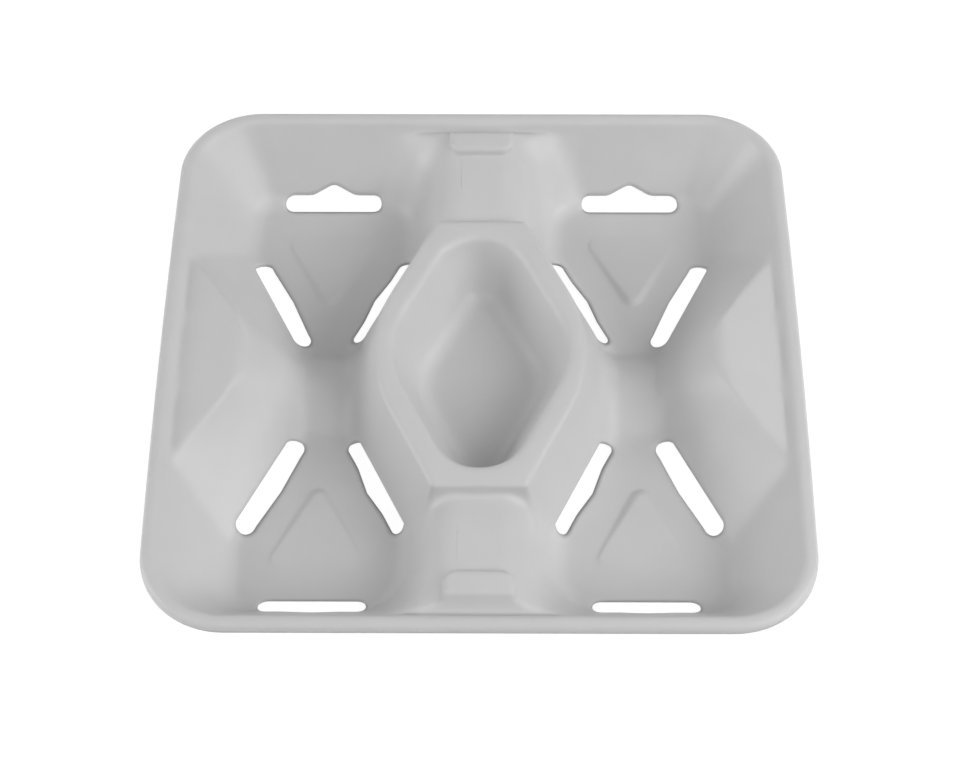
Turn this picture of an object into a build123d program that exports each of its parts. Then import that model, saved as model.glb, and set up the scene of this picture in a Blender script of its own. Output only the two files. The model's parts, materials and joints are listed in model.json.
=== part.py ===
"""Carrier tray for four cups, moulded in one piece from paper pulp.

The tray is a thin skin of even wall. One function describes all that lies under a face of
the tray, and the skin is what lies between its upper face and the same face sunk by the wall.
X runs to the right, Y to the back and Z up. The origin is the middle of the footprint, on the
surface that the tray stands on. Lengths are in millimetres and angles in degrees.
"""
from build123d import *
import math
import os

os.makedirs("parts", exist_ok=True)

# Overall sizes
tray_side = 215.0
side_bow = 1.2
rim_corner_radius = 28.0
wall = 1.8
flange_height = 28.0
flange_width = 4.4
lip_drop = 3.1

# Outer walls of the pockets, drafts measured from the vertical
front_wall_draft = 33.0
side_wall_draft = 38.0
floor_corner_radius = 9.0

# Island between the pockets
island_height = 29.0
island_half_length = 55.3
island_end_half_width = 15.1
flank_angle = 64.4
island_nose_radius = 58.0
island_draft = 19.5

# Recess in the island, a diamond whose edges run along with the island's
recess_half_width = 33.5
recess_side_radius = 36.0
recess_end_radius = 16.5
recess_depth = 21.5
recess_draft = 25.0
recess_floor_side_radius = 20.0
recess_floor_end_radius = 7.5

# Plateaus at the left and right of the rim, which fall towards it
plateau_height = 29.0
plateau_reach = 79.5
plateau_fall = 9.5
plateau_edge_angle = 56.0
plateau_nose_radius = 36.0
plateau_foot_reach = 52.2
plateau_foot_length = 34.0
plateau_foot_radius = 16.0
plateau_draft = 40.0

# Ridges from the island to the lugs at the front and back of the rim
ridge_half_width = 13.5
ridge_draft = 24.0
ridge_crest_radius = 10.0
ridge_height_at_island = 25.5
ridge_height_at_lug = 27.6

# Lugs on the ends of the ridges, level platforms that fall off steeply before the rim
lug_height = 30.0
lug_reach = 87.6
lug_depth = 8.0
lug_fall = 50.0
lug_half_width = 11.0
lug_corner_radius = 4.0
lug_draft = 12.0

# Pads on the pocket floors, highest towards the humps
pad_x = 53.6
pad_start_y = 33.4
pad_end_y = 70.0
pad_half_width = 17.5
pad_corner_radius = 4.0
pad_height = 1.4
pad_fade_y = 72.0
pad_side_draft = 66.0

# Slots at the feet of the walls, each with a swelling on its wall side, measured at their tops
base_slot_x = 53.8
base_slot_y = 85.95
base_slot_length = 29.6
base_slot_width = 1.1
base_slot_swelling = 4.0
base_slot_swelling_reach = 7.0
base_slot_top = 8.6
outer_slot_x = 70.3
outer_slot_y = 38.2
outer_slot_length = 38.0
outer_slot_width = 4.2
outer_slot_swelling = 0.8
outer_slot_swelling_reach = 15.0
inner_slot_x = 34.0
inner_slot_y = 39.0
inner_slot_length = 38.0
inner_slot_width = 3.0
inner_slot_swelling = 1.0
inner_slot_swelling_reach = 10.0
diagonal_slot_top = 5.0
slot_draft = 25.0

# Softness of the moulding: radii of the upper face, of which those of the outer valleys also hold below
valley_radius = 9.0
ridge_end_radius = 20.0
plateau_end_radius = 14.0
recess_floor_radius = 8.0
recess_lip_radius = 3.0
crease_radius = 1.5
mouth_radius = 3.0
lug_edge_radius = 1.5
rim_radius = 2.0

# Humps between the front and back pockets, which run in under the island and the plateaus
hump_height = 8.3
hump_half_width = 17.0
hump_start_x = 38.0
hump_length = 28.0

# Room cut away over the ends of the ridges, and how far forms run on past the rim before they are cut off
room_half_width = 45.0
overrun = 20.0

# Height above the floor up to which an edge belongs to the foot of a wall
foot_zone = 5.0

half_side = tray_side / 2
floor_height = wall
flank_run = 1 / math.tan(math.radians(flank_angle))
plateau_length = (half_side - flange_width / 2 - plateau_reach) / math.cos(math.radians(plateau_fall))
island_end_run = math.tan(math.radians(island_draft))
island_foot = island_half_length + (island_height - ridge_height_at_island) * island_end_run
lug_foot = lug_reach - (lug_height - ridge_height_at_lug) * math.tan(math.radians(lug_draft))
mouth = half_side - flange_width
hump_rise = hump_height - wall
hump_radius = (hump_half_width**2 + hump_rise**2) / (2 * hump_rise)


def set_back(draft, sink):
    """How far an outline moves when its drafted wall and its own level both sink."""
    return sink * math.tan(math.radians(45 - draft / 2))


def rounded_plan(half_x, half_y, corner):
    """A square plan with straight front and back, bowed sides and round corners."""
    with BuildSketch(mode=Mode.PRIVATE) as plan:
        with BuildLine():
            Line((-half_x + side_bow, -half_y), (half_x - side_bow, -half_y))
            ThreePointArc((half_x - side_bow, -half_y), (half_x, 0), (half_x - side_bow, half_y))
            Line((half_x - side_bow, half_y), (-half_x + side_bow, half_y))
            ThreePointArc((-half_x + side_bow, half_y), (-half_x, 0), (-half_x + side_bow, -half_y))
        make_face()
        fillet(plan.vertices(), corner)
    return plan.sketch


def wedge_plan(edge_angle, nose_radius, length, from_nose, shift):
    """A wedge with a round nose, measured from its nose or from where its edges would meet."""
    half_angle = math.radians(edge_angle)
    tip = -nose_radius * (1 / math.sin(half_angle) - 1) if from_nose else 0.0
    half_width = (length - tip) * math.tan(half_angle)
    with BuildSketch(mode=Mode.PRIVATE) as plan:
        with BuildLine():
            Polyline((tip, 0), (length, -half_width), (length, half_width), close=True)
        make_face()
        if shift > 0:
            offset(amount=-shift, kind=Kind.INTERSECTION)
        fillet(plan.vertices().sort_by(Axis.X)[0], nose_radius)
    return plan.sketch


def island_plan(shift):
    """The outline of the island's top, a hexagon with two broad round noses."""
    nose_x = island_end_half_width + island_half_length * flank_run
    with BuildSketch(mode=Mode.PRIVATE) as plan:
        with BuildLine():
            Polyline(
                (nose_x, 0),
                (island_end_half_width, island_half_length),
                (-island_end_half_width, island_half_length),
                (-nose_x, 0),
                (-island_end_half_width, -island_half_length),
                (island_end_half_width, -island_half_length),
                close=True,
            )
        make_face()
        fillet(plan.vertices().filter_by(lambda corner: abs(corner.Y) < 0.01), island_nose_radius)
        if shift > 0:
            offset(amount=-shift, kind=Kind.INTERSECTION)
    return plan.sketch


def diamond_plan(half_width, side_radius, end_radius, shift):
    """A diamond with rounded corners, its edges at the island's flank angle."""
    half_length = half_width / flank_run
    with BuildSketch(mode=Mode.PRIVATE) as plan:
        with BuildLine():
            Polyline((half_width, 0), (0, half_length), (-half_width, 0), (0, -half_length), close=True)
        make_face()
        sides = plan.vertices().group_by(Axis.Y)[1]
        ends = plan.vertices() - sides
        fillet(sides, side_radius)
        fillet(plan.vertices().group_by(Axis.Y)[0] + plan.vertices().group_by(Axis.Y)[-1], end_radius)
        if shift > 0:
            offset(amount=shift)
    return plan.sketch


def mouth_plan(sink, rise):
    """The outline of the bowl at the flange, or at a rise above it."""
    front_run = rise * math.tan(math.radians(front_wall_draft))
    side_run = rise * math.tan(math.radians(side_wall_draft))
    front_shift = set_back(front_wall_draft, sink)
    side_shift = set_back(side_wall_draft, sink)
    corner = rim_corner_radius - flange_width + front_shift + front_run
    return rounded_plan(mouth + side_shift + side_run, mouth + front_shift + front_run, corner)


def bowl(sink):
    """A block, higher and wider than the tray, with the bowl that the outer walls of all pockets share."""
    front_run = (flange_height - floor_height) * math.tan(math.radians(front_wall_draft))
    side_run = (flange_height - floor_height) * math.tan(math.radians(side_wall_draft))
    front_shift = set_back(front_wall_draft, sink)
    side_shift = set_back(side_wall_draft, sink)
    with BuildPart() as block:
        with BuildSketch(Plane.XY.offset(-sink)):
            Rectangle(tray_side + 4 * overrun, tray_side + 4 * overrun)
        extrude(amount=flange_height + overrun)
        with BuildSketch(Plane.XY.offset(flange_height - sink)):
            add(mouth_plan(sink, 0.0))
        with BuildSketch(Plane.XY.offset(floor_height - sink)):
            foot_x = mouth + side_shift - side_run
            foot_y = mouth + front_shift - front_run
            add(rounded_plan(foot_x, foot_y, floor_corner_radius + front_shift))
        loft(ruled=True, mode=Mode.SUBTRACT)
        with BuildSketch(Plane.XY.offset(flange_height - sink)):
            add(mouth_plan(sink, 0.0))
        with BuildSketch(Plane.XY.offset(flange_height + overrun - sink)):
            add(mouth_plan(sink, overrun))
        loft(ruled=True, mode=Mode.SUBTRACT)
    return block.part


def outer_column(sink):
    """A column with the outline of the rim."""
    with BuildPart() as body:
        with BuildSketch(Plane.XY.offset(-sink)):
            add(rounded_plan(half_side - sink, half_side - sink, rim_corner_radius - sink))
        extrude(amount=tray_side)
    return body.part


def island(sink):
    """The high ground between the pockets."""
    with BuildPart() as body:
        with BuildSketch(Plane.XY.offset(island_height - sink)):
            add(island_plan(set_back(island_draft, sink)))
        extrude(amount=-(island_height - floor_height), taper=-island_draft)
    return body.part


def ridge(sink):
    """The ridge at the back, with a crest that rises towards the rim, run on into the wall."""
    rise = (ridge_height_at_lug - ridge_height_at_island) / (lug_foot - island_foot)
    crest = ridge_height_at_island - island_foot * rise
    base = -lug_height  # well under the floor, all along the rising bar
    spread = (crest - base) * math.tan(math.radians(ridge_draft))
    with BuildPart() as body:
        with BuildSketch(Plane.XZ):
            with BuildLine():
                Polyline(
                    (-ridge_half_width - spread, base),
                    (ridge_half_width + spread, base),
                    (ridge_half_width, crest),
                    (-ridge_half_width, crest),
                    close=True,
                )
            make_face()
            if sink > 0:
                offset(amount=-sink, kind=Kind.INTERSECTION)
            fillet(vertices().group_by(Axis.Y)[-1], ridge_crest_radius - sink)
        extrude(amount=half_side + overrun, dir=(0, 1, rise))
    return body.part


def lug(sink):
    """The lug that stands on the end of the ridge at the back."""
    with BuildPart() as body:
        with BuildSketch(Plane.XY.offset(lug_height - sink)) as top:
            with Locations((0, lug_reach)):
                Rectangle(2 * lug_half_width, half_side - lug_reach, align=(Align.CENTER, Align.MIN))
            if sink > 0:
                offset(amount=-set_back(lug_draft, sink), kind=Kind.INTERSECTION)
            fillet(top.vertices().group_by(Axis.Y)[0], lug_corner_radius)
        extrude(amount=-lug_height / 2, taper=-lug_draft)
    return body.part


def room_over_lug(sink):
    """The room behind the lug at the back: down to a groove along the wall, and out over the rim."""
    wall_slope = math.tan(math.radians(front_wall_draft))
    lug_slope = math.tan(math.radians(lug_fall))
    edge_y = lug_reach + lug_depth
    groove_run = mouth - edge_y - (flange_height - lug_height) * wall_slope
    groove_y = edge_y + groove_run / (1 + lug_slope * wall_slope)
    groove_height = lug_height - (groove_y - edge_y) * lug_slope
    start_height = lug_height + lug_depth * lug_slope
    with BuildPart() as body:
        with BuildSketch(Plane.YZ.offset(-room_half_width)):
            with BuildLine():
                Polyline(
                    (lug_reach, start_height),
                    (groove_y, groove_height),
                    (mouth, flange_height),
                    (tray_side, flange_height),
                    (tray_side, tray_side),
                    (lug_reach, tray_side),
                    close=True,
                )
            make_face()
            offset(amount=sink, kind=Kind.INTERSECTION)
        extrude(amount=2 * room_half_width)
    return body.part


def room_over_rim(sink):
    """The room above the flange, all round the mouth of the tray."""
    with BuildPart() as body:
        with BuildSketch(Plane.XY.offset(flange_height - sink)):
            Rectangle(2 * tray_side, 2 * tray_side)
            add(mouth_plan(sink, 0.0), mode=Mode.SUBTRACT)
        extrude(amount=tray_side)
    return body.part


def recess(sink):
    """The hollow in the island."""
    shift = set_back(recess_draft, sink)
    level = island_height - sink
    narrowing = recess_depth * math.tan(math.radians(recess_draft)) / math.sin(math.radians(flank_angle))
    with BuildPart() as body:
        with BuildSketch(Plane.XY.offset(level)):
            add(diamond_plan(recess_half_width, recess_side_radius, recess_end_radius, shift))
        with BuildSketch(Plane.XY.offset(level - recess_depth)):
            floor_half_width = recess_half_width - narrowing
            add(diamond_plan(floor_half_width, recess_floor_side_radius, recess_floor_end_radius, shift))
        loft(ruled=True)
    return body.part


def plateau(side, sink):
    """The high ground at one side of the rim, with a round nose towards the island."""
    shift = set_back(plateau_draft, sink)
    fall = math.radians(plateau_fall)
    slope = Plane(
        origin=(side * plateau_reach, 0, plateau_height),
        x_dir=(side * math.cos(fall), 0, -math.sin(fall)),
        z_dir=(side * math.sin(fall), 0, math.cos(fall)),
    )
    ground = Plane(origin=(side * plateau_foot_reach, 0, floor_height), x_dir=(side, 0, 0))
    with BuildPart() as body:
        with BuildSketch(slope.offset(-sink)):
            add(wedge_plan(plateau_edge_angle, plateau_nose_radius, plateau_length, True, shift))
        with BuildSketch(ground.offset(-sink)):
            add(wedge_plan(flank_angle, plateau_foot_radius, plateau_foot_length, False, shift))
        loft(ruled=True)
    return body.part


def hump(side, sink):
    """The low rise between a front pocket and the pocket behind it."""
    with BuildPart() as body:
        with BuildSketch(Plane(origin=(side * hump_start_x, 0, 0), x_dir=(0, side, 0), z_dir=(side, 0, 0))):
            with Locations((0, hump_height - hump_radius)):
                Circle(hump_radius - sink)
            with Locations((0, floor_height - sink)):
                below = (Align.CENTER, Align.MAX)
                Rectangle(4 * hump_radius, 2 * hump_radius, align=below, mode=Mode.SUBTRACT)
        extrude(amount=hump_length)
    return body.part


def ridge_ends(body, floor):
    """The edges in which the ridges' flanks meet the outer walls."""
    chosen = []
    for edge in body.edges():
        middle = edge @ 0.5
        beside_ridge = abs(middle.X) < room_half_width and abs(middle.Y) > lug_foot
        if beside_ridge and foot_zone < middle.Z - floor < flange_height:
            chosen.append(edge)
    return chosen


def plateau_ends(body, floor):
    """The edges in which the plateaus' flanks meet the outer walls."""
    chosen = []
    for edge in body.edges():
        middle = edge @ 0.5
        in_line = abs(middle.X) > plateau_reach and rim_corner_radius < abs(middle.Y) < plateau_reach
        if in_line and foot_zone < middle.Z - floor < flange_height / 2:
            chosen.append(edge)
    return chosen


def pad(sink):
    """The pad in the back right pocket, which falls towards the outer wall."""
    floor = floor_height - sink
    fall = pad_height / (pad_fade_y - pad_start_y)
    with BuildPart() as body:
        with BuildSketch(Plane.XY.offset(floor)) as plan:
            with BuildLine():
                Polyline(
                    (pad_x, pad_start_y),
                    (pad_x + pad_half_width, pad_end_y),
                    (pad_x - pad_half_width, pad_end_y),
                    close=True,
                )
            make_face()
            fillet(plan.vertices(), pad_corner_radius)
        extrude(amount=pad_height, taper=pad_side_draft)
        with BuildSketch(Plane.YZ):
            with BuildLine():
                Polyline(
                    (0, floor + fall * pad_fade_y),
                    (tray_side, floor + fall * (pad_fade_y - tray_side)),
                    (tray_side, tray_side),
                    (0, tray_side),
                    close=True,
                )
            make_face()
        extrude(amount=half_side, mode=Mode.SUBTRACT)
    return body.part


def slot(length, width, swelling, reach, top):
    """A cutter for a slot along X that swells towards +Y at mid length and widens downwards."""
    with BuildPart() as body:
        with BuildSketch(Plane.XY.offset(top)) as plan:
            with BuildLine():
                Polyline(
                    (-length / 2, -width / 2),
                    (length / 2, -width / 2),
                    (length / 2, width / 2),
                    (reach, width / 2),
                    (0, width / 2 + swelling),
                    (-reach, width / 2),
                    (-length / 2, width / 2),
                    close=True,
                )
            make_face()
            fillet([corner for corner in plan.vertices() if abs(corner.X) > length / 2 - 0.01], 0.45 * width)
            fillet([corner for corner in plan.vertices() if abs(abs(corner.X) - reach) < 0.01], 1.2 * reach)
            fillet(plan.vertices().filter_by(lambda corner: abs(corner.X) < 0.01), 0.3 * reach)
        extrude(plan.sketch, amount=-top - wall, taper=-slot_draft)
        extrude(plan.sketch, amount=overrun)
    return body.part


def valley_edges(body, floor):
    """The edges in which walls meet the floor and the humps."""
    chosen = list(body.edges().filter_by_position(Axis.Z, floor - 0.01, floor + 0.01))
    for edge in body.edges():
        middle = edge @ 0.5
        near_hump = abs(middle.Y) < hump_half_width and abs(middle.X) < plateau_reach
        if near_hump and 0 < middle.Z - floor < foot_zone + valley_radius / 2:
            chosen.append(edge)
    return chosen


def lug_edges(body):
    """The edges round the tops of the lugs."""
    return body.edges().filter_by_position(Axis.Z, lug_height - 0.01, lug_height + 0.01)


def level_face(body, height):
    """The largest level face of a body at one height."""
    return body.faces().filter_by_position(Axis.Z, height - 0.01, height + 0.01).sort_by(SortBy.AREA)[-1]


def form_under(sink):
    """All that lies under the upper face of the tray, when that face is sunk by a depth."""
    ridge_body = ridge(sink)
    lug_body = lug(sink)
    room = room_over_lug(sink)
    pad_body = pad(sink)
    right_pads = pad_body + pad_body.mirror(Plane.XZ)
    with BuildPart() as form:
        add([bowl(sink), island(sink), plateau(-1, sink), plateau(1, sink), hump(-1, sink), hump(1, sink)])
        add([ridge_body, ridge_body.mirror(Plane.XZ)])
        fillet(ridge_ends(form, floor_height - sink), ridge_end_radius)
        fillet(plateau_ends(form, floor_height - sink), plateau_end_radius)
        fillet(valley_edges(form, floor_height - sink), valley_radius)
        add([lug_body, lug_body.mirror(Plane.XZ)])
        add([right_pads, right_pads.mirror(Plane.YZ)])
        add([room, room.mirror(Plane.XZ), room_over_rim(sink), recess(sink)], mode=Mode.SUBTRACT)
        add(outer_column(sink), mode=Mode.INTERSECT)
        fillet(level_face(form, island_height - recess_depth - sink).edges(), recess_floor_radius + sink)
        if sink == 0:
            fillet(level_face(form, island_height - sink).outer_wire().edges(), crease_radius)
            fillet(level_face(form, island_height - sink).inner_wires()[0].edges(), recess_lip_radius)
            fillet(level_face(form, flange_height - sink).inner_wires()[0].edges(), mouth_radius)
            fillet(level_face(form, flange_height - sink).outer_wire().edges(), rim_radius)
            fillet(lug_edges(form), lug_edge_radius)
    return form.part


with BuildPart() as tray:
    add(form_under(0.0))
    add(form_under(wall), mode=Mode.SUBTRACT)
    # The skirt that is left outside the outer walls ends at the edge of the lip
    with BuildSketch(Plane.XY.offset(-wall)):
        Rectangle(2 * tray_side, 2 * tray_side)
        skirt_corner = rim_corner_radius - flange_width + wall
        add(rounded_plan(mouth + wall, mouth + wall, skirt_corner), mode=Mode.SUBTRACT)
    extrude(amount=flange_height - lip_drop + wall, mode=Mode.SUBTRACT)
    # Slots, where the fibre thins out towards the edges
    base_slot = slot(base_slot_length, base_slot_width, base_slot_swelling, base_slot_swelling_reach, base_slot_top)
    outer_slot = slot(
        outer_slot_length, outer_slot_width, outer_slot_swelling, outer_slot_swelling_reach, diagonal_slot_top
    )
    inner_slot = slot(
        inner_slot_length, inner_slot_width, inner_slot_swelling, inner_slot_swelling_reach, diagonal_slot_top
    )
    for x in (-1, 1):
        for y in (-1, 1):
            half_turn = 90 - 90 * y
            slant = x * y * flank_angle
            with Locations(Location((x * base_slot_x, y * base_slot_y, 0), (0, 0, half_turn))):
                add(base_slot, mode=Mode.SUBTRACT)
            with Locations(Location((x * outer_slot_x, y * outer_slot_y, 0), (0, 0, slant - half_turn))):
                add(outer_slot, mode=Mode.SUBTRACT)
            with Locations(Location((x * inner_slot_x, y * inner_slot_y, 0), (0, 0, -slant - half_turn))):
                add(inner_slot, mode=Mode.SUBTRACT)

tray.part.label = "tray"
export_step(tray.part, "parts/tray.step")
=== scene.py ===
"""Looks of the moulded-fibre cup carrier, laid out as a Blender add-on and run as a script.

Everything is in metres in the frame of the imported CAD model: X to the right, Y to the back, Z up.
"""
import json
import math

import bpy
from mathutils import Matrix, Vector

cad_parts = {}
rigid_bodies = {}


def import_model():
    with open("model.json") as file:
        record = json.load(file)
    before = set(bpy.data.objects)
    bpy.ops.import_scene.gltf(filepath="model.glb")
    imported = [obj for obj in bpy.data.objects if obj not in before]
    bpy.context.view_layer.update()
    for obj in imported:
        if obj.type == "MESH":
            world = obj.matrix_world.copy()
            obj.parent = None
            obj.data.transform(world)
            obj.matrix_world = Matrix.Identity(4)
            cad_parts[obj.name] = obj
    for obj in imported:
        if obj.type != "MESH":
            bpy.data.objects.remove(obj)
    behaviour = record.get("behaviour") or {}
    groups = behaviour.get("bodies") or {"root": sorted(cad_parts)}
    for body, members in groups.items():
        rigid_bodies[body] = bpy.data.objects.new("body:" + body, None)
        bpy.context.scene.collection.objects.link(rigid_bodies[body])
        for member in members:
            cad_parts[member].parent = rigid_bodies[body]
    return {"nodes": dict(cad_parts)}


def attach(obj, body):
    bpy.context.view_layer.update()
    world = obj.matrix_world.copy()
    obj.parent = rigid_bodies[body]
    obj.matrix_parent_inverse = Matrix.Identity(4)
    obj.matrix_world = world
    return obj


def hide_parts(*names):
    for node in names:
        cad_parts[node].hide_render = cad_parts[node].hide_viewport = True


bl_info = {
    "name": "Moulded fibre cup carrier",
    "version": (1, 0, 0),
    "blender": (4, 5, 0),
    "location": "View3D > Sidebar > Cup carrier",
    "description": "Finishes the carrier tray and lays out its studio",
    "category": "Object",
}

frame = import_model()
MM = 0.001

# Mending of the CAD mesh: points that are one, edges too short to keep, and the angle that stays crisp
MERGE_DISTANCE = 0.002 * MM
SLIVER_LENGTH = 0.05 * MM
SMOOTH_ANGLE = math.radians(20)

# Places that the pressing rounds, in millimetres from the tray's two middle lines, the same on all sides.
# Each pair goes from where the form is crisp to where it is fully rounded.
RIDGE_END_ACROSS = (26, 21)
RIDGE_END_START = (56, 59)
RIDGE_END_STOP = (72, 67)
PLATEAU_NOSE = 79
PLATEAU_SLOPE = 1.85
PLATEAU_EDGE = (9, 4)
PLATEAU_RIM = (104, 101)
PLATEAU_INNER = (73, 77)
LUG_FOOT_INNER = (13, 16)
LUG_FOOT_OUTER = (36, 32)
LUG_FOOT_START = (84, 87)
LUG_FOOT_STOP = (103.5, 101.5)
DIVISIONS = 6
SAMPLES_ALONG_EDGE = 7

# Camera that took the photo, recovered from the square rim: place in metres, turns in degrees
CAMERA_PLACE = (4.21 * MM, -469.78 * MM, 650.25 * MM)
CAMERA_HEADING = 0.527
CAMERA_LOOK_DOWN = 53.805
CAMERA_ROLL = -0.294
CAMERA_LENS = 87.4
SENSOR_WIDTH = 36.0

# Lamps of the studio: name, compass angle from the X axis, height angle and power in watts
LAMPS = (
    ("key_front_right", 315, 35, 9.1),
    ("key_right", 0, 35, 8.4),
    ("key_right_high", 0, 60, 2.9),
    ("front_high", 300, 60, 2.3),
    ("front_left_high", 240, 60, 0.9),
    ("fill_front_left", 225, 35, 4.1),
    ("fill_left", 180, 35, 4.4),
    ("fill_left_low", 180, 14, 9.3),
    ("back_high", 60, 60, 2.7),
    ("back_right_low", 60, 14, 3.2),
    ("back_left_low", 120, 14, 2.7),
    ("right_low", 0, 14, 1.1),
)


def linear(code):
    """The linear colour of an sRGB hex value."""
    parts = [int(code[i:i + 2], 16) / 255 for i in (0, 2, 4)]
    return tuple(c / 12.92 if c <= 0.04045 else ((c + 0.055) / 1.055) ** 2.4 for c in parts)


class CarrierFinish(bpy.types.PropertyGroup):
    """Colour and texture of the pressed fibre."""

    fibre_colour: bpy.props.FloatVectorProperty(
        name="Fibre", description="Colour of the bleached fibre", subtype="COLOR", size=3, min=0, max=1,
        default=linear("C8C8C8"),
    )
    cloud_colour: bpy.props.FloatVectorProperty(
        name="Clouds",
        description="Colour where the fibre lies thinner",
        subtype="COLOR", size=3, min=0, max=1,
        default=linear("C2C2C2"),
    )
    cloud_size: bpy.props.FloatProperty(
        name="Cloud size",
        description="Width of the faint clouds in the fibre",
        unit="LENGTH", default=14 * MM,
    )
    fibre_size: bpy.props.FloatProperty(
        name="Fibre size",
        description="Width of the fibre bundles that show",
        unit="LENGTH", default=0.8 * MM,
    )
    fibre_relief: bpy.props.FloatProperty(
        name="Fibre relief", description="Height of the fibre bundles", unit="LENGTH", default=0.02 * MM,
    )
    edge_softness: bpy.props.FloatProperty(
        name="Edge softness",
        description="How far the pressing rounds each edge",
        unit="LENGTH", default=2.5 * MM,
    )
    soft_step: bpy.props.FloatProperty(
        name="Soft step",
        description="Longest edge in the softened places",
        unit="LENGTH", default=2.2 * MM,
    )
    soft_rounds: bpy.props.IntProperty(
        name="Soft rounds",
        description="How many times the softened places are smoothed",
        default=24, min=0,
    )


class StudioSettings(bpy.types.PropertyGroup):
    """Floor, lamps and camera."""

    floor_colour: bpy.props.FloatVectorProperty(
        name="Floor", description="Colour of the floor", subtype="COLOR", size=3, min=0, max=1,
        default=linear("F2F2F2"),
    )
    floor_width: bpy.props.FloatProperty(
        name="Floor width", description="Side of the square floor", unit="LENGTH", default=2.6,
    )
    sky_strength: bpy.props.FloatProperty(
        name="Sky", description="Strength of the even light from all round", default=0.0, min=0,
    )
    lamp_factor: bpy.props.FloatProperty(
        name="Lamps", description="Factor on the power of every lamp", default=1.0, min=0,
    )
    lamp_size: bpy.props.FloatProperty(
        name="Lamp size", description="Width of each round lamp", unit="LENGTH", default=0.8,
    )
    lamp_distance: bpy.props.FloatProperty(
        name="Lamp distance",
        description="How far the lamps stand from the tray",
        unit="LENGTH", default=1.6,
    )


def tree_node(tree, kind, settings=None, inputs=None, links=None):
    """Adds a node with its settings, its input values and the sockets that feed it."""
    node = tree.nodes.new(kind)
    for key, value in (settings or {}).items():
        setattr(node, key, value)
    for key, value in (inputs or {}).items():
        node.inputs[key].default_value = value
    for key, source in (links or {}).items():
        tree.links.new(source, node.inputs[key])
    return node


def empty_material(name):
    """A material with a node tree that holds only its output."""
    material = bpy.data.materials.new(name)
    material.use_nodes = True
    material.node_tree.nodes.clear()
    return material, material.node_tree


def moulded_fibre(finish):
    """Bleached paper pulp, hot pressed: matt to satin, with faint clouds and a fine felt of fibres."""
    # Single fibres are too fine to show, so the felt is drawn in bundles 0.8 mm wide
    material, tree = empty_material("moulded_fibre")
    place = tree_node(tree, "ShaderNodeTexCoord").outputs["Object"]
    clouds = tree_node(
        tree, "ShaderNodeTexNoise", inputs={"Scale": 1 / finish.cloud_size, "Detail": 3.0, "Roughness": 0.5},
        links={"Vector": place},
    )
    felt = tree_node(
        tree, "ShaderNodeTexNoise", inputs={"Scale": 1 / finish.fibre_size, "Detail": 2.0, "Roughness": 0.6},
        links={"Vector": place},
    )
    colour = tree_node(
        tree, "ShaderNodeMix", settings={"data_type": "RGBA"},
        inputs={6: (*finish.fibre_colour, 1), 7: (*finish.cloud_colour, 1)},
        links={"Factor": clouds.outputs["Fac"]},
    )
    soft = tree_node(
        tree, "ShaderNodeBevel", settings={"samples": 12}, inputs={"Radius": finish.edge_softness},
    )
    relief = tree_node(
        tree, "ShaderNodeBump", inputs={"Strength": 1.0, "Distance": finish.fibre_relief},
        links={"Height": felt.outputs["Fac"], "Normal": soft.outputs["Normal"]},
    )
    surface = tree_node(
        tree, "ShaderNodeBsdfPrincipled", inputs={"Roughness": 0.42, "IOR": 1.5},
        links={"Base Color": colour.outputs[2], "Normal": relief.outputs["Normal"]},
    )
    tree_node(tree, "ShaderNodeOutputMaterial", links={"Surface": surface.outputs["BSDF"]})
    return material


def floor_paint(studio):
    """Matt white studio floor, which cameras and mirrors see as white apart from its shadow."""
    material, tree = empty_material("matt_white_floor")
    rays = tree_node(tree, "ShaderNodeLightPath")
    seen = tree_node(
        tree, "ShaderNodeMath", settings={"operation": "MAXIMUM"},
        links={0: rays.outputs["Is Camera Ray"], 1: rays.outputs["Is Glossy Ray"]},
    )
    seen = tree_node(
        tree, "ShaderNodeMath", settings={"operation": "MAXIMUM"},
        links={0: seen.outputs[0], 1: rays.outputs["Is Transmission Ray"]},
    )
    matt = tree_node(tree, "ShaderNodeBsdfDiffuse", inputs={"Color": (*studio.floor_colour, 1)})
    dim = tree_node(tree, "ShaderNodeBsdfDiffuse", inputs={"Color": (0.12, 0.12, 0.12, 1)})
    white = tree_node(tree, "ShaderNodeEmission", inputs={"Color": (1, 1, 1, 1), "Strength": 0.95})
    bright = tree_node(tree, "ShaderNodeAddShader", links={0: dim.outputs[0], 1: white.outputs[0]})
    choice = tree_node(
        tree, "ShaderNodeMixShader",
        links={"Fac": seen.outputs[0], 1: matt.outputs[0], 2: bright.outputs[0]},
    )
    tree_node(tree, "ShaderNodeOutputMaterial", links={"Surface": choice.outputs[0]})
    return material


def deselect():
    """Leaves nothing selected."""
    for thing in bpy.context.view_layer.objects:
        thing.select_set(False)


def ramp(value, start, end):
    """0 at the start and before it, 1 at the end and past it, with a straight rise between."""
    return min(1.0, max(0.0, (value - start) / (end - start)))


def softness(place):
    """How much the pressing rounds the form at a place, from 0 where it is crisp to 1."""
    x, y = abs(place.x) / MM, abs(place.y) / MM
    past_edge = y - PLATEAU_SLOPE * (x - PLATEAU_NOSE)
    ridge_end = ramp(x, *RIDGE_END_ACROSS) * ramp(y, *RIDGE_END_START) * ramp(y, *RIDGE_END_STOP)
    plateau = ramp(past_edge, *PLATEAU_EDGE) * ramp(x, *PLATEAU_RIM) * ramp(x, *PLATEAU_INNER)
    lug_foot = ramp(x, *LUG_FOOT_INNER) * ramp(x, *LUG_FOOT_OUTER)
    lug_foot = lug_foot * ramp(y, *LUG_FOOT_START) * ramp(y, *LUG_FOOT_STOP)
    return max(ridge_end, plateau, lug_foot)


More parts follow.
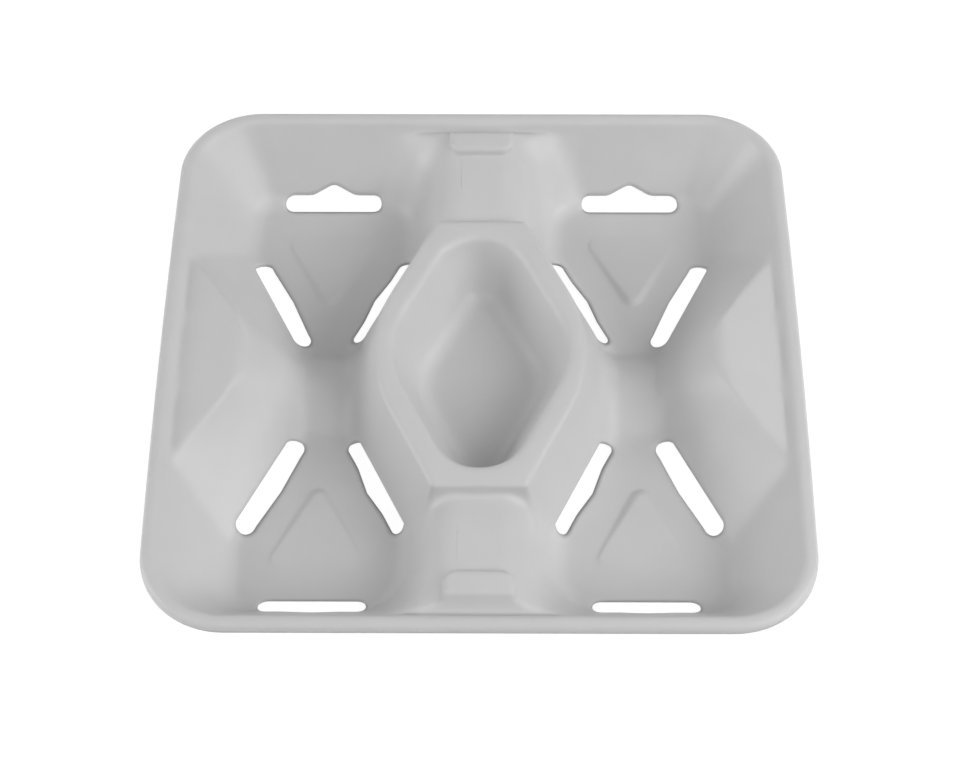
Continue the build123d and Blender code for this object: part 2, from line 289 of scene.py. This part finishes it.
def select_long_edges(mesh, limit):
    """Selects the edges past a length that reach into the softened places."""
    steps = [i / (SAMPLES_ALONG_EDGE - 1) for i in range(SAMPLES_ALONG_EDGE)]
    for edge in mesh.edges:
        start, end = (mesh.vertices[i].co for i in edge.vertices)
        edge.select = False
        if (end - start).length > limit:
            edge.select = any(softness(start.lerp(end, step)) > 0 for step in steps)


def soften(tray, finish):
    """Rounds the plateaus' edges, the ridges' ends and the lugs' feet on a finer mesh."""
    bpy.ops.object.mode_set(mode="EDIT")
    bpy.ops.mesh.select_mode(type="EDGE")
    for _ in range(DIVISIONS):
        bpy.ops.mesh.select_all(action="DESELECT")
        bpy.ops.object.mode_set(mode="OBJECT")
        select_long_edges(tray.data, finish.soft_step)
        bpy.ops.object.mode_set(mode="EDIT")
        bpy.ops.mesh.subdivide(number_cuts=1, ngon=False)
    bpy.ops.mesh.select_all(action="SELECT")
    bpy.ops.mesh.dissolve_degenerate(threshold=SLIVER_LENGTH)
    bpy.ops.mesh.quads_convert_to_tris()
    bpy.ops.object.mode_set(mode="OBJECT")
    group = tray.vertex_groups.new(name="softened")
    for vertex in tray.data.vertices:
        group.add([vertex.index], softness(vertex.co), "REPLACE")
    rounding = tray.modifiers.new("rounding", "SMOOTH")
    rounding.factor = 0.5
    rounding.iterations = finish.soft_rounds
    rounding.vertex_group = group.name
    bpy.ops.object.modifier_apply(modifier=rounding.name)
    tray.vertex_groups.clear()


class CARRIER_OT_press_tray(bpy.types.Operator):
    """Stands a merged and smoothly shaded copy in for the CAD tray, in pressed fibre"""

    bl_idname = "carrier.press_tray"
    bl_label = "Press the tray"

    def execute(self, context):
        node = frame["nodes"]["tray"]
        tray = node.copy()
        tray.data = node.data.copy()
        tray.name = "pressed_tray"
        context.collection.objects.link(tray)
        deselect()
        tray.select_set(True)
        context.view_layer.objects.active = tray
        bpy.ops.mesh.customdata_custom_splitnormals_clear()
        bpy.ops.object.mode_set(mode="EDIT")
        bpy.ops.mesh.select_all(action="SELECT")
        bpy.ops.mesh.remove_doubles(threshold=MERGE_DISTANCE)
        bpy.ops.mesh.normals_make_consistent(inside=False)
        bpy.ops.object.mode_set(mode="OBJECT")
        soften(tray, context.scene.carrier_finish)
        bpy.ops.object.shade_smooth_by_angle(angle=SMOOTH_ANGLE)
        tray.data.materials.clear()
        tray.data.materials.append(moulded_fibre(context.scene.carrier_finish))
        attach(tray, "root")
        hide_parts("tray")
        return {"FINISHED"}


class CARRIER_OT_lay_studio(bpy.types.Operator):
    """Lays out the floor, the lamps, the sky and the camera"""

    bl_idname = "carrier.lay_studio"
    bl_label = "Lay out the studio"

    def execute(self, context):
        studio = context.scene.studio_settings
        deselect()
        bpy.ops.mesh.primitive_plane_add(size=studio.floor_width, location=(0, 0, -0.0002))
        floor = context.object
        floor.name = "studio_floor"
        floor.data.materials.append(floor_paint(studio))
        bpy.ops.object.transform_apply(location=True)
        world = bpy.data.worlds.new("studio_sky")
        context.scene.world = world
        world.use_nodes = True
        tree = world.node_tree
        tree.nodes.clear()
        rays = tree_node(tree, "ShaderNodeLightPath")
        sky = tree_node(
            tree, "ShaderNodeBackground", inputs={"Color": (1, 1, 1, 1), "Strength": studio.sky_strength},
        )
        white = tree_node(tree, "ShaderNodeBackground", inputs={"Color": (1, 1, 1, 1), "Strength": 1.0})
        choice = tree_node(
            tree, "ShaderNodeMixShader",
            links={"Fac": rays.outputs["Is Camera Ray"], 1: sky.outputs[0], 2: white.outputs[0]},
        )
        tree_node(tree, "ShaderNodeOutputWorld", links={"Surface": choice.outputs[0]})
        for name, compass, height, power in LAMPS:
            around = Matrix.Rotation(math.radians(compass), 3, "Z")
            turn = around @ Matrix.Rotation(math.radians(-height), 3, "Y")
            bpy.ops.object.light_add(type="AREA", location=turn @ Vector((studio.lamp_distance, 0, 0)))
            lamp = context.object
            lamp.name = name
            lamp.data.shape = "DISK"
            lamp.data.size = studio.lamp_size
            lamp.data.energy = power * studio.lamp_factor
            lamp.rotation_euler = lamp.location.to_track_quat("Z", "Y").to_euler()
        bpy.ops.object.camera_add()
        camera = context.object
        camera.name = "photo_camera"
        camera.data.sensor_fit = "HORIZONTAL"
        camera.data.sensor_width = SENSOR_WIDTH
        camera.data.lens = CAMERA_LENS
        camera.data.clip_start = 10 * MM
        camera.matrix_world = (
            Matrix.Translation(CAMERA_PLACE)
            @ Matrix.Rotation(math.radians(CAMERA_HEADING), 4, "Z")
            @ Matrix.Rotation(math.radians(90 - CAMERA_LOOK_DOWN), 4, "X")
            @ Matrix.Rotation(math.radians(CAMERA_ROLL), 4, "Z")
        )
        context.scene.camera = camera
        context.scene.view_settings.view_transform = "Standard"
        return {"FINISHED"}


class CARRIER_PT_panel(bpy.types.Panel):
    """Lists the steps of the carrier and their settings"""

    bl_idname = "CARRIER_PT_panel"
    bl_label = "Cup carrier"
    bl_space_type = "VIEW_3D"
    bl_region_type = "UI"
    bl_category = "Cup carrier"

    def draw(self, context):
        for group in (context.scene.carrier_finish, context.scene.studio_settings):
            for name in group.bl_rna.properties.keys():
                if name not in ("rna_type", "name"):
                    self.layout.prop(group, name)
        self.layout.operator("carrier.press_tray")
        self.layout.operator("carrier.lay_studio")


CLASSES = (CarrierFinish, StudioSettings, CARRIER_OT_press_tray, CARRIER_OT_lay_studio, CARRIER_PT_panel)


def register():
    for each in CLASSES:
        bpy.utils.register_class(each)
    bpy.types.Scene.carrier_finish = bpy.props.PointerProperty(type=CarrierFinish)
    bpy.types.Scene.studio_settings = bpy.props.PointerProperty(type=StudioSettings)


def unregister():
    del bpy.types.Scene.studio_settings
    del bpy.types.Scene.carrier_finish
    for each in reversed(CLASSES):
        bpy.utils.unregister_class(each)


def main():
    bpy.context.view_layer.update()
    register()
    bpy.ops.carrier.press_tray()
    bpy.ops.carrier.lay_studio()


if __name__ == "__main__":
    main()
